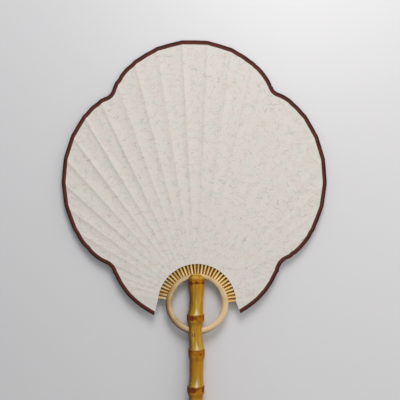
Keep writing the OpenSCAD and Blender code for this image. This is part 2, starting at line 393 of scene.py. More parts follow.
# Columns of the leaf run from its inner arc to the outline, closer together beside each rib
def leafColumns():
    columns = []
    for m in range(ribs["count"] + 1):
        if m == 0:
            side = math.asin((ribWidth(0) / 2 + leaf["margin"]) / leaf["innerRadius"])
            startInner, startPlace = ribBearing(0) - math.degrees(side), 0.0
        else:
            startInner = ribBearing(m - 1) + math.degrees(leaf["rim"] / leaf["innerRadius"])
            reach = outline(ribPlaces[m - 1]).length
            startPlace = outlineAt(ribBearing(m - 1) + math.degrees(leaf["rim"] / reach))
        if m == ribs["count"]:
            side = math.asin((ribWidth(lastRib) / 2 + leaf["margin"]) / leaf["innerRadius"])
            endInner, endPlace = ribBearing(lastRib) + math.degrees(side), 5.0
        else:
            endInner = ribBearing(m) - math.degrees(leaf["rim"] / leaf["innerRadius"])
            reach = outline(ribPlaces[m]).length
            endPlace = outlineAt(ribBearing(m) - math.degrees(leaf["rim"] / reach))
        for k in range(leaf["acrossSteps"] + 1):
            t = (1 - math.cos(math.pi * k / leaf["acrossSteps"])) / 2
            columns.append((
                atBearing(leaf["innerRadius"], mix(startInner, endInner, t)),
                edgePoint(mix(startPlace, endPlace, t))))
    return columns


columns = leafColumns()


def makeSheet(name, side, material, node):
    bm = bmesh.new()
    bmesh.ops.create_grid(
        bm, x_segments=len(columns) - 1, y_segments=leaf["alongSteps"], size=0.5)
    for v in bm.verts:
        column = columns[round((v.co.x + 0.5) * (len(columns) - 1))]
        # The sheets stop a little inside the fold of the edge strip
        end = column[1] - (column[1] - column[0]).normalized() * leaf["trim"]
        p = mix(column[0], end, clamp(v.co.y + 0.5))
        v.co = Vector((p.x + centre["x"], p.y + centre["y"], side * paperHeight(p, side)))
    # The grid is the inner face. Drawn out by the paper's thickness it gives the outer one and rims
    drawn = bmesh.ops.extrude_face_region(bm, geom=bm.faces[:], use_keep_orig=True)
    lifted = [v for v in drawn["geom"] if isinstance(v, bmesh.types.BMVert)]
    bmesh.ops.translate(bm, vec=(0, 0, side * leaf["thickness"]), verts=lifted)
    finishPiece(name, bm, [material], [node], sharp=50)


makeSheet("frontPaper", 1, makePaper("mulberryPaperFront", 0.0), "leaf_front")
makeSheet("backPaper", -1, makePaper("mulberryPaperBack", 0.37), "leaf_back")
print("two sheets of paper made,", len(columns), "columns each")


# Strands of bark pressed into each face: short flat curls, most of them hardly darker than the paper
strands = dict(
    count=1400, steps=18, step=(0.26, 0.58), halfWidth=(0.05, 0.10), tip=0.7,
    curl=(9, 40), waves=(0.5, 2.2), waveStep=0.35, jitter=5,
    lift=0.03, margin=5.5, innerMargin=1.5, spread=1.6, cell=9, tries=4,
    shades=["a79c8d", "b19384", "9e9b80", "776c5d"], shares=(0.44, 0.25, 0.23, 0.08), roughness=0.8,
)
# How far the leaf reaches at every degree, from a little before the first rib to beyond the last
reachStep, reachOver = 1.0, 3
reaches = [
    outline(outlineAt(ribFirst - reachOver + reachStep * k)).length
    for k in range(int(ribs["spread"]) + 2 * reachOver + 1)]


def leafReach(degrees):
    k = clamp((degrees - ribFirst + reachOver) / reachStep, 0, len(reaches) - 1.001)
    return mix(reaches[int(k)], reaches[int(k) + 1], k - int(k))


def isPaper(p):
    degrees = bearingOf(p)
    inner = leaf["innerRadius"] + strands["innerMargin"]
    outer = leafReach(degrees) - strands["margin"]
    return ribFirst < degrees < ribFirst + ribs["spread"] and inner < p.length < outer


def cellOf(path):
    middle = path[strands["steps"] // 2]
    return math.floor(middle.x / strands["cell"]), math.floor(middle.y / strands["cell"])


# One strand's middle line. Of a few tries the one in the emptiest cell of the leaf is kept
def strandPath(dice, cells):
    tries = []
    while len(tries) < strands["tries"]:
        x = dice.uniform(corners[1].x, corners[4].x) * strands["spread"]
        p = Vector((x, dice.uniform(corners[0].y, reaches[len(reaches) // 2])))
        heading = dice.choice((90, 270)) + dice.triangular(-90, 90, 0)    # most lie level
        step = dice.uniform(*strands["step"])
        curl = dice.uniform(*strands["curl"]) * dice.choice((-1, 1))
        waves = dice.uniform(*strands["waves"])
        path = []
        for k in range(strands["steps"] + 1):
            path.append(p)
            heading += curl * math.cos(waves * k * strands["waveStep"])
            heading += dice.uniform(-strands["jitter"], strands["jitter"])
            p = p + atBearing(step, heading)
        if all(isPaper(q) for q in path):
            tries.append(path)
    best = min(tries, key=lambda path: cells.get(cellOf(path), 0))
    cells[cellOf(best)] = cells.get(cellOf(best), 0) + 1
    return best


def makeFibreMaterials():
    materials = []
    for k, code in enumerate(strands["shades"]):
        material, _, shader, _ = startMaterial("barkFibre%d" % (k + 1))
        shader.inputs["Base Color"].default_value = linear(code)
        shader.inputs["Roughness"].default_value = strands["roughness"]
        materials.append(material)
    return materials


def makeStrands(name, side, seed, materials):
    dice = random.Random(seed)
    # A grid with every second row of faces dropped leaves one ribbon for each strand
    lines = 2 * strands["count"] - 1
    bm = bmesh.new()
    bmesh.ops.create_grid(bm, x_segments=strands["steps"], y_segments=lines, size=0.5)

    def rowOf(v):
        return round((v.co.y + 0.5) * lines)

    between = [f for f in bm.faces if min(rowOf(v) for v in f.verts) % 2]
    bmesh.ops.delete(bm, geom=between, context="FACES_ONLY")
    bmesh.ops.delete(bm, geom=[e for e in bm.edges if e.is_wire], context="EDGES")
    shades = dice.choices(range(len(materials)), weights=strands["shares"], k=strands["count"])
    for f in bm.faces:
        f.material_index = shades[min(rowOf(v) for v in f.verts) // 2]
    cells = {}
    paths = [strandPath(dice, cells) for _ in range(strands["count"])]
    widths = [dice.uniform(*strands["halfWidth"]) for _ in range(strands["count"])]
    for v in bm.verts:
        row = rowOf(v)
        k = round((v.co.x + 0.5) * strands["steps"])
        path = paths[row // 2]
        along = path[min(k + 1, strands["steps"])] - path[max(k - 1, 0)]
        across = Vector((-along.y, along.x)).normalized() * widths[row // 2] * (1 if row % 2 else -1)
        t = (k + strands["tip"]) / (strands["steps"] + 2 * strands["tip"])
        taper = math.sin(math.pi * t) ** 0.5
        q = path[k] + across * taper
        z = paperHeight(q, side) + leaf["thickness"] + strands["lift"]
        v.co = Vector((q.x + centre["x"], q.y + centre["y"], side * z))
    finishPiece("barkStrands" + name, bm, materials, [])


fibreMaterials = makeFibreMaterials()
makeStrands("Front", 1, 21, fibreMaterials)
makeStrands("Back", -1, 22, fibreMaterials)
print("bark strands laid:", 2 * strands["count"])


# The strip folded round the edge: thin dyed paper, matt and reddish brown, darker where it turns over
binding = dict(
    width=3.7, thickness=0.22, lift=0.02, fold=0.15, crown=0.05, crownTo=0.9,
    nearest=0.3, rollOver=1.0, rollPower=2.2, endTurn=0.12, alongSteps=640, acrossSteps=22,
    face="58291f", edge="371711", worn="6a3628", wear=0.45, speckle=(0.82, 1.12),
    grain=1.1, patch=14, bump=0.4, relief=0.06, roughness=0.75, gloss=0.2,
)


# Outwards from the edge. Near the two tips this turns to run along the leaf's cut side
def edgeOut(s):
    t = min(s, 5 - s) / binding["endTurn"]
    if t >= 1:
        return outlineOut(s, edgePoint)
    inner, outer = columns[0 if s < 1 else -1]
    return mix((outer - inner).normalized(), outlineOut(s, edgePoint), smooth(t)).normalized()


def makeBinding():
    look = binding
    material, tree, shader, coords = startMaterial("dyedEdgePaper")
    fold = addNode(tree, "Attribute", attribute_name="fold").outputs["Fac"]
    grain = addNode(tree, "TexNoise", {
        "Vector": coords, "Scale": 1 / (look["grain"] * mm), "Detail": 3.0})
    patch = addNode(tree, "TexNoise", {
        "Vector": coords, "Scale": 1 / (look["patch"] * mm), "Detail": 2.0})
    tone = addNode(tree, "ValToRGB", {0: fold}, stops=[
        (0.0, look["face"]), (0.45, look["face"]),
        (0.75, look["edge"]), (1.0, look["edge"])]).outputs[0]
    wear = addNode(tree, "MapRange", [patch.outputs[0], 0.45, 0.75, 0.0, look["wear"]]).outputs[0]
    worn = addNode(tree, "Mix", {0: wear, 6: tone, 7: linear(look["worn"])}, **laidOver).outputs[2]
    speckle = addNode(tree, "MapRange", [grain.outputs[0], 0.35, 0.65, *look["speckle"]]).outputs[0]
    colour = addNode(tree, "Mix", {0: 1.0, 6: worn, 7: speckle}, **multiplied).outputs[2]
    bump = addNode(tree, "Bump", {
        "Height": grain.outputs[0], "Strength": look["bump"], "Distance": look["relief"] * mm})
    tree.links.new(colour, shader.inputs["Base Color"])
    tree.links.new(bump.outputs[0], shader.inputs["Normal"])
    shader.inputs["Roughness"].default_value = look["roughness"]
    shader.inputs["Specular IOR Level"].default_value = look["gloss"]

    bm = bmesh.new()
    foldLayer = bm.verts.layers.float.new("fold")
    bmesh.ops.create_grid(
        bm, x_segments=look["alongSteps"], y_segments=look["acrossSteps"], size=0.5)
    half = look["acrossSteps"] // 2
    for v in bm.verts:
        s = 5 * clamp(v.co.x + 0.5)
        k = round((v.co.y + 0.5) * look["acrossSteps"]) - half      # above 0 on the back
        side = -1 if k > 0 else 1
        out = edgeOut(s)
        edge = edgePoint(s)
        t = 1 - abs(k) / half                                       # 1 at the fold
        depth = look["width"] * (1 - t)
        p = edge - out * max(depth, look["nearest"])
        top = paperHeight(p, side) + leaf["thickness"] + look["lift"]
        # Over the last millimetre the strip rolls round the edge
        roll = clamp(1 - depth / look["rollOver"])
        z = top * math.cos(math.radians(90) * roll ** look["rollPower"]) if k else 0.0
        reach = look["fold"] * math.sin(math.radians(90) * roll)
        q = edge - out * (depth - reach)
        swell = look["crown"] * math.sin(math.pi * clamp(t / look["crownTo"]))
        v.co = Vector((q.x + centre["x"], q.y + centre["y"], side * (z + swell * (1 - roll))))
        v[foldLayer] = t
    bmesh.ops.recalc_face_normals(bm, faces=bm.faces)
    bm.normal_update()
    if bm.faces[:][0].normal.z < 0:
        bmesh.ops.reverse_faces(bm, faces=bm.faces)
        bm.normal_update()
    drawn = bmesh.ops.extrude_face_region(bm, geom=bm.faces[:], use_keep_orig=True)
    for v in drawn["geom"]:
        if isinstance(v, bmesh.types.BMVert):
            v.co += v.normal * look["thickness"]
    finishPiece("edgeStrip", bm, [material], ["edge_binding"], sharp=50)


makeBinding()
print("edge strip folded round the leaf")


# Split bamboo: each rib shows straw-coloured rind on its narrow face, with long fine grain, and
# darker fibrous pith on its sides
ribLook = dict(
    rind="dbbb7c", rindDark="b58a42", rindPale="eedaa4", pith="d69c34", pithDark="9a6612",
    arcAt=35, grain=(0.4, 9, 0.8), broad=(2.4, 20, 0), bump=0.4, relief=0.08,
    # Painted shade near the paper, and painted light that brightens the ribs towards the right
    edgeShadeFrom=31, sideLitOver=(-35, 35), sideLit=(0.88, 1.16),
    rindFinishAndShade=dict(roughness=0.5, gloss=0.3, edgeShade=0.95),
    pithFinishAndShade=dict(roughness=0.85, gloss=0.08, edgeShade=0.55),
)


def makeRibMaterial(name, stops, finishAndShade):
    look = ribLook
    material, tree, shader, coords = startMaterial(name)
    polar = polarCoords(tree, coords, look["arcAt"])
    # Fibres run outwards, about 0.4 mm apart and 9 mm long
    grainPlace = addNode(tree, "Mapping", {0: polar, "Scale": patternScale(look["grain"])})
    grain = addNode(tree, "TexNoise", {
        "Vector": grainPlace.outputs[0], "Scale": 1.0, "Detail": 3.0})
    broadPlace = addNode(tree, "Mapping", {0: polar, "Scale": patternScale(look["broad"])})
    broad = addNode(tree, "TexNoise", {"Vector": broadPlace.outputs[0], "Scale": 1.0, "Detail": 1.0})
    both = addNode(tree, "Mix", {0: 0.55, 2: grain.outputs[0], 3: broad.outputs[0]})
    colour = addNode(tree, "ValToRGB", {0: both.outputs[0]}, stops=stops)
    bump = addNode(tree, "Bump", {
        "Height": grain.outputs[0], "Strength": look["bump"], "Distance": look["relief"] * mm})
    # Painted shade darkens the ribs towards the paper, whose edge shades them, the pith most
    out = addNode(tree, "SeparateXYZ", {0: polar}).outputs[1]
    reach = inMetres((look["edgeShadeFrom"], leaf["innerRadius"]))
    edgeShaded = addNode(tree, "MapRange", [out, *reach, 1.0, finishAndShade["edgeShade"]]).outputs[0]
    # Painted light makes the ribs lighter towards the right, where the side light stands
    across = addNode(tree, "SeparateXYZ", {0: coords}).outputs[0]
    sideLit = addNode(tree, "MapRange", [across, *inMetres(look["sideLitOver"]), *look["sideLit"]])
    tone = addNode(tree, "Math", [edgeShaded, sideLit.outputs[0]], operation="MULTIPLY").outputs[0]
    shaded = addNode(tree, "Mix", {0: 1.0, 6: colour.outputs[0], 7: tone}, **multiplied)
    tree.links.new(shaded.outputs[2], shader.inputs["Base Color"])
    tree.links.new(bump.outputs[0], shader.inputs["Normal"])
    shader.inputs["Roughness"].default_value = finishAndShade["roughness"]
    shader.inputs["Specular IOR Level"].default_value = finishAndShade["gloss"]
    return material


rindMaterial = makeRibMaterial("splitBambooRind", [
    (0.36, ribLook["rindDark"]), (0.5, ribLook["rind"]), (0.64, ribLook["rindPale"])],
    ribLook["rindFinishAndShade"])
pithMaterial = makeRibMaterial("splitBambooPith", [
    (0.38, ribLook["pithDark"]), (0.62, ribLook["pith"])], ribLook["pithFinishAndShade"])


def makeRib(i):
    length = ribEnds[i] - ribs["start"]
    bm = bmesh.new()
    bmesh.ops.create_cube(bm, size=1)
    bmesh.ops.scale(bm, vec=(ribWidth(i), length, ribs["rootDepth"]), verts=bm.verts)
    bmesh.ops.translate(bm, vec=(0, ribs["start"] + length / 2, 0), verts=bm.verts)
    for v in bm.verts:
        if v.co.y > ribs["start"] + length / 2:
            v.co.z = math.copysign(ribs["tipDepth"] / 2, v.co.z)
    # The rind faces are the narrow ones: a rib is widest at its middle, where it was split
    for place, direction in (((0, 0, 0), (0, 0, 1)), ((0, ribs["bellyAt"], 0), (0, 1, 0))):
        bmesh.ops.bisect_plane(bm, geom=bm.verts[:] + bm.edges[:] + bm.faces[:],
                               plane_co=place, plane_no=direction)
    rootWidth, bellyWidth, tipWidth = ribs["belly"]
    for v in bm.verts:
        if abs(v.co.z) < 0.01:
            t = (v.co.y - ribs["start"]) / (ribs["bellyAt"] - ribs["start"])
            wide = mix(rootWidth, bellyWidth, t) if t < 1.001 else tipWidth
            v.co.x = math.copysign(wide / 2, v.co.x)
    longEdges = [e for e in bm.edges
                 if abs(e.verts[0].co.y - e.verts[1].co.y) > 5
                 and min(abs(v.co.z) for v in e.verts) > 0.1]
    bmesh.ops.bevel(bm, geom=longEdges, offset=ribs["edgeRound"], segments=3, affect="EDGES",
                    profile=0.5, material=-1)
    bm.normal_update()
    for face in bm.faces:
        face.material_index = 0 if abs(face.normal.z) > 0.6 else 1      # rind, pith
    turned = Matrix.Rotation(-math.radians(ribBearing(i)), 3, "Z")
    bmesh.ops.rotate(bm, cent=(0, 0, 0), matrix=turned, verts=bm.verts)
    bmesh.ops.translate(bm, vec=(centre["x"], centre["y"], 0), verts=bm.verts)
    finishPiece("splitRib%02d" % (i + 1), bm, [rindMaterial, pithMaterial],
                ["rib_%02d" % (i + 1)], sharp=60)


for i in range(ribs["count"]):
    makeRib(i)
print("ribs made:", ribs["count"])


# The ring: a strip of pale bamboo bent into a circle, sanded soft, with grain along its length
ring = dict(
    outer=31.4, width=6.3, topTrim=2.4, trimPower=1.3, thickness=5.0, corner=1.35, faceCrown=0.3,
    uneven=0.12, around=192,
    # Of these colours, edge is painted shade on the left and outer edge, and lit is painted light at
    # the lower right
    wood="c9ab79", pale="d9c197", dark="b38d57", edge="70460c", lit="f0d3a8",
    shadeWay=(-0.8, -0.6, 0), shadeOver=(-22, 26), outwardShadeOver=(27.5, 30.4), innerShade=0.22,
    litWay=(0.5, -0.86, 0), litOver=(8, 28), litMost=0.85,
    grain=(25, 0.55, 0.9), patch=13, bump=0.3, relief=0.08, roughness=0.55, coat=0.15,
)


def makeRing():
    look = ring
    material, tree, shader, coords = startMaterial("steamBentBamboo")
    polar = polarCoords(tree, coords, look["outer"])
    # Grain lines lie about 0.5 mm apart and are 25 mm long
    grainPlace = addNode(tree, "Mapping", {0: polar, "Scale": patternScale(look["grain"])})
    grain = addNode(tree, "TexNoise", {
        "Vector": grainPlace.outputs[0], "Scale": 1.0, "Detail": 4.0, "Distortion": 0.2})
    patch = addNode(tree, "TexNoise", {
        "Vector": coords, "Scale": 1 / (look["patch"] * mm), "Detail": 2.0})
    both = addNode(tree, "Mix", {0: 0.6, 2: grain.outputs[0], 3: patch.outputs[0]})
    colour = addNode(tree, "ValToRGB", {0: both.outputs[0]}, stops=[
        (0.33, look["dark"]), (0.47, look["wood"]), (0.62, look["pale"])])
    # Painted shade browns the strip on its left, most of all at its outer edge, and painted light
    # brightens its lower right, towards the side light
    about = addNode(tree, "Mapping", {
        0: coords, "Location": inMetres((-centre["x"], -centre["y"], 0))}).outputs[0]
    ringShade, paintedLight = [
        addNode(tree, "MapRange", [
            addNode(tree, "VectorMath", [about, way], operation="DOT_PRODUCT").outputs["Value"],
            *inMetres(over), 0.0, most]).outputs[0]
        for way, over, most in ((look["shadeWay"], look["shadeOver"], 1.0),
                                (look["litWay"], look["litOver"], look["litMost"]))]
    out = addNode(tree, "SeparateXYZ", [polar]).outputs[1]
    rim = addNode(tree, "MapRange", [out, *inMetres(look["outwardShadeOver"]), look["innerShade"], 1.0])
    shadeMask = addNode(tree, "Math", [ringShade, rim.outputs[0]], operation="MULTIPLY").outputs[0]
    colour = colour.outputs[0]
    for share, code in ((paintedLight, look["lit"]), (shadeMask, look["edge"])):
        colour = addNode(tree, "Mix", {0: share, 6: colour, 7: linear(code)}, **laidOver).outputs[2]
    bump = addNode(tree, "Bump", {
        "Height": grain.outputs[0], "Strength": look["bump"], "Distance": look["relief"] * mm})
    tree.links.new(colour, shader.inputs["Base Color"])
    tree.links.new(bump.outputs[0], shader.inputs["Normal"])
    shader.inputs["Roughness"].default_value = look["roughness"]
    shader.inputs["Coat Weight"].default_value = look["coat"]

    bm = bmesh.new()
    inner = look["outer"] - look["width"]
    h = look["thickness"] / 2
    section = [bm.verts.new((x, 0, z)) for x, z in (
        (inner, -h), (look["outer"], -h), (look["outer"], h), (inner, h))]
    face = bm.faces.new(section)
    bmesh.ops.bevel(bm, geom=list(face.verts), offset=look["corner"], segments=5, affect="VERTICES",
                    profile=0.5, material=-1)
    bmesh.ops.subdivide_edges(bm, edges=[e for e in bm.edges if e.calc_length() > 1.5], cuts=3)
    # The face is crowned a little, as sandpaper leaves it
    for v in bm.verts:
        if abs(v.co.z) > h * 0.98:
            mid = (v.co.x - (inner + look["width"] / 2)) / (look["width"] / 2)
            v.co.z += math.copysign(look["faceCrown"] * (1 - mid * mid), v.co.z)
    bmesh.ops.delete(bm, geom=bm.faces[:], context="FACES_ONLY")
    bmesh.ops.spin(bm, geom=bm.verts[:] + bm.edges[:], cent=(0, 0, 0), axis=(0, 0, 1),
                   angle=math.radians(360), steps=look["around"], use_merge=True)
    bmesh.ops.remove_doubles(bm, verts=bm.verts, dist=0.001)
    # It was cut narrower at the top, where the ribs enter, and hand bending left it a little uneven
    for v in bm.verts:
        r = math.hypot(v.co.x, v.co.y)
        c, s = v.co.x / r, v.co.y / r
        uneven = look["uneven"] * noise.noise(Vector((c * 1.3, s * 1.3, 3)))
        trim = look["topTrim"] * max(0, s) ** look["trimPower"] * (r - inner) / look["width"]
        v.co.x += (uneven - trim) * c
        v.co.y += (uneven - trim) * s
    bmesh.ops.translate(bm, vec=(centre["x"], centre["y"], 0), verts=bm.verts)
    finishPiece("bentRing", bm, [material], ["ring"])


makeRing()
print("ring bent")


# The handle: knobbly bamboo root cane, polished. Its golden olive skin has a fine lengthwise grain,
# painted shade down its left side, dark root scars round each joint and a painted highlight above
# each joint.
# A joint has the height of its middle, its radius, the lip's height, the lengths of the neck and of
# the warm stain below it, and the stain's strength
cane = dict(
    length=165, waist=7.0, rows=430, around=112,
    flareAbove=2.9, band=4.2, skirt=3.3, domeRound=3.4, buttRound=1.2, holeWidth=3, holeUp=6,
    lipWidth=0.55, grooveDown=1.5, grooveWidth=0.8,
    swell=0.16, ripple=0.05, jag=1.3,                               # unevenness of skin and bands
    # Size and place of the painted highlight above each joint
    highlightMost=0.62, highlightTall=13, highlightWide=(22, 4), highlightTurn=6,
    # Reach of the painted shade down the cane's left side
    sideShadeMost=0.85, sideShadeFrom=0.35, sideShadeOver=0.45,
    joints=[
        dict(y=158.8, radius=8.15, lip=0.05, below=17, warmth=0.35, stain=17),
        dict(y=122.4, radius=8.6, lip=0.3, below=5, warmth=0.35, stain=17),
        dict(y=87.6, radius=8.3, lip=0.25, below=6.5, warmth=0.62, stain=33),
        dict(y=51.0, radius=8.5, lip=0.25, below=6, warmth=0.6, stain=17),
        dict(y=12.6, radius=8.5, lip=0.25, below=7, warmth=0.4, stain=17),
    ],
    # height above the butt and sideways drift of the cane's middle line
    drift=[(165, 0.2), (143, 0.5), (122, -0.6), (104, -0.6), (86, 0.6), (68, 0.3), (49, -0.2),
           (12, 0.2), (0, 0.2)],
    # joint, turn round the cane from its face to the right, height above the joint, half width,
    # half height, darkness, and 1 for an eye that is dark only at its rim
    scars=[
        (0, -38, -2.3, 1.3, 1.5, 1.0, 0), (0, 4, -1.0, 1.2, 0.8, 0.9, 0),
        (0, 56, -1.6, 1.2, 1.6, 0.9, 0), (0, -85, -1.8, 1.4, 1.5, 0.9, 0),
        (0, 100, -1.6, 1.3, 1.4, 0.9, 0), (0, 150, -1.8, 1.4, 1.5, 0.9, 1),
        (0, -132, -1.8, 1.4, 1.4, 0.9, 0),
        (1, -64, -0.2, 1.7, 2.2, 1.0, 0), (1, -23, -0.4, 1.6, 1.8, 1.0, 0),
        (1, 1, -0.4, 1.0, 1.3, 0.7, 0), (1, 31, -1.3, 2.5, 3.3, 0.8, 1),
        (1, 70, -0.2, 1.5, 2.0, 0.9, 0), (1, 112, -0.4, 1.7, 2.0, 0.9, 1),
        (1, 160, -0.3, 1.7, 2.0, 1.0, 0), (1, -112, -0.4, 1.6, 1.9, 0.9, 0),
        (2, -62, -0.4, 1.6, 3.0, 1.0, 0), (2, -26, -0.9, 1.8, 1.4, 0.6, 1),
        (2, 8, -0.8, 1.8, 1.5, 0.55, 1), (2, 30, -1.0, 1.2, 1.3, 0.5, 0),
        (2, 64, 0.4, 1.9, 2.6, 0.9, 1), (2, 112, -0.3, 1.6, 2.0, 0.9, 0),
        (2, 165, -0.3, 1.7, 2.1, 0.9, 0), (2, -112, -0.3, 1.6, 1.9, 0.9, 1),
        (3, -82, -0.2, 1.5, 2.0, 0.9, 0), (3, -53, -0.3, 1.6, 2.2, 0.85, 0),
        (3, -15, -0.3, 2.2, 2.1, 0.8, 0), (3, 17, 0.6, 1.3, 0.9, 0.5, 0),
        (3, 62, -0.2, 1.7, 2.2, 0.95, 0), (3, 112, -0.4, 1.7, 2.0, 0.9, 1),
        (3, 160, -0.4, 1.7, 2.0, 0.9, 0), (3, -118, -0.3, 1.6, 2.0, 0.9, 0),
        (4, -60, -0.3, 1.7, 2.1, 0.9, 0), (4, -15, -0.5, 1.8, 2.0, 0.9, 1),
        (4, 28, -0.3, 1.5, 1.9, 0.8, 0), (4, 72, -0.3, 1.7, 2.0, 0.9, 0),
        (4, 120, -0.4, 1.6, 2.0, 0.9, 1), (4, 170, -0.3, 1.8, 2.1, 0.9, 0),
        (4, -110, -0.4, 1.6, 1.9, 0.9, 0),
    ],
    # sideways place, lower and upper end of two small nicks in the skin
    nicks=[(-2.9, 103.5, 106.6), (-0.7, 103.1, 106.8)],
    # Of these colours, the dark brown for the left side is painted shade and the pale cream above the
    # joints is a painted highlight
    skin="a97c12", skinPale="c39b36", skinDark="88600e", sideShade="5e3504", warm="a86208",
    scar="642904", paintedHighlight="eadfb4", fibre=(0.6, 18, 0.6), streak=(3, 30, 3), spot=2.0,
    bump=0.25, relief=0.06, roughness=0.33, gloss=(0.22, 0.06), coat=0.06, coatRoughness=0.2,
)


def caneDrift(y):
    points = cane["drift"]
    for (highY, high), (lowY, low) in zip(points, points[1:]):
        if y >= lowY:
            return mix(low, high, smooth((y - lowY) / (highY - lowY)))
    return points[-1][1]


def caneRadius(y):
    radius = cane["waist"]
    for joint in cane["joints"]:
        d = y - joint["y"]
        if d > 0:
            share = math.exp(-max(0, d - cane["band"] / 2) / cane["flareAbove"])
        else:
            beyond = max(0, -d - cane["skirt"])
            share = (1 + math.cos(math.pi * min(1, beyond / joint["below"]))) / 2
        up = d - cane["band"] / 2
        lip = joint["lip"] * math.exp(-(up / cane["lipWidth"]) ** 2)
        groove = (up + cane["grooveDown"]) / cane["grooveWidth"]
        lip -= 0.5 * joint["lip"] * math.exp(-groove ** 2)
        radius = max(radius, mix(cane["waist"], joint["radius"], share) + lip)
    for depth, r in ((cane["length"] - y, cane["domeRound"]), (y, cane["buttRound"])):
        if depth < r:
            radius -= r - math.sqrt(max(0, r * r - (r - depth) ** 2))
    return max(radius, 0.0)


skinTints = ("scar", "paintedHighlight", "joint", "sideShade")


def makeCaneMaterial():
    look = cane
    material, tree, shader, coords = startMaterial("polishedBambooRoot")
    scar, paintedHighlight, joint, shade = [
        addNode(tree, "Attribute", attribute_name=name).outputs["Fac"] for name in skinTints]
    # Skin fibres run along the cane, about 0.6 mm apart and 18 mm long
    grainPlace = addNode(tree, "Mapping", {0: coords, "Scale": patternScale(look["fibre"])})
    grain = addNode(tree, "TexNoise", {
        "Vector": grainPlace.outputs[0], "Scale": 1.0, "Detail": 3.0}).outputs[0]
    streakPlace = addNode(tree, "Mapping", {0: coords, "Scale": patternScale(look["streak"])})
    streak = addNode(tree, "TexNoise", {
        "Vector": streakPlace.outputs[0], "Scale": 1.0, "Detail": 2.0}).outputs[0]
    spot = addNode(tree, "TexNoise", {
        "Vector": coords, "Scale": 1 / (look["spot"] * mm), "Detail": 3.0}).outputs[0]
    both = addNode(tree, "Mix", {0: 0.5, 2: grain, 3: streak}).outputs[0]
    skin = addNode(tree, "ValToRGB", {0: both}, stops=[
        (0.33, look["skinDark"]), (0.46, look["skin"]), (0.66, look["skinPale"])]).outputs[0]
    # How strongly each tint covers the skin, broken up by the spots and the grain
    patchy = addNode(tree, "MapRange", [spot, 0.3, 0.6, 0.6, 1.0]).outputs[0]
    streaky = addNode(tree, "MapRange", [grain, 0.2, 0.6, 0.55, 1.0]).outputs[0]
    ragged = addNode(tree, "Math", [spot, 0.6, scar], operation="MULTIPLY_ADD").outputs[0]
    scarMask = addNode(tree, "MapRange", [ragged, 0.42, 1.0, 0.0, 0.88]).outputs[0]
    # The side shade and the pale flame above each joint are painted shade and a painted highlight;
    # the warm joints and scars are the skin's own
    for mask, breakUp, code in ((joint, patchy, look["warm"]), (shade, patchy, look["sideShade"]),
                                (paintedHighlight, streaky, look["paintedHighlight"]), (scarMask, None, look["scar"])):
        if breakUp:
            mask = addNode(tree, "Math", [mask, breakUp], operation="MULTIPLY").outputs[0]
        skin = addNode(tree, "Mix", {0: mask, 6: skin, 7: linear(code)}, **laidOver).outputs[2]
    polish = addNode(tree, "MapRange", [
        spot, 0.3, 0.7, look["roughness"] - 0.05, look["roughness"] + 0.1]).outputs[0]
    rough = addNode(tree, "Math", [scarMask, 0.25, polish], operation="MULTIPLY_ADD").outputs[0]
    gloss = addNode(tree, "MapRange", [joint, 0.0, 0.8, *look["gloss"]]).outputs[0]
    bump = addNode(tree, "Bump", {
        "Height": grain, "Strength": look["bump"], "Distance": look["relief"] * mm}).outputs[0]
    tree.links.new(skin, shader.inputs["Base Color"])
    tree.links.new(rough, shader.inputs["Roughness"])
    tree.links.new(bump, shader.inputs["Normal"])
    tree.links.new(gloss, shader.inputs["Specular IOR Level"])
    shader.inputs["Coat Weight"].default_value = look["coat"]
    shader.inputs["Coat Roughness"].default_value = look["coatRoughness"]
    return material


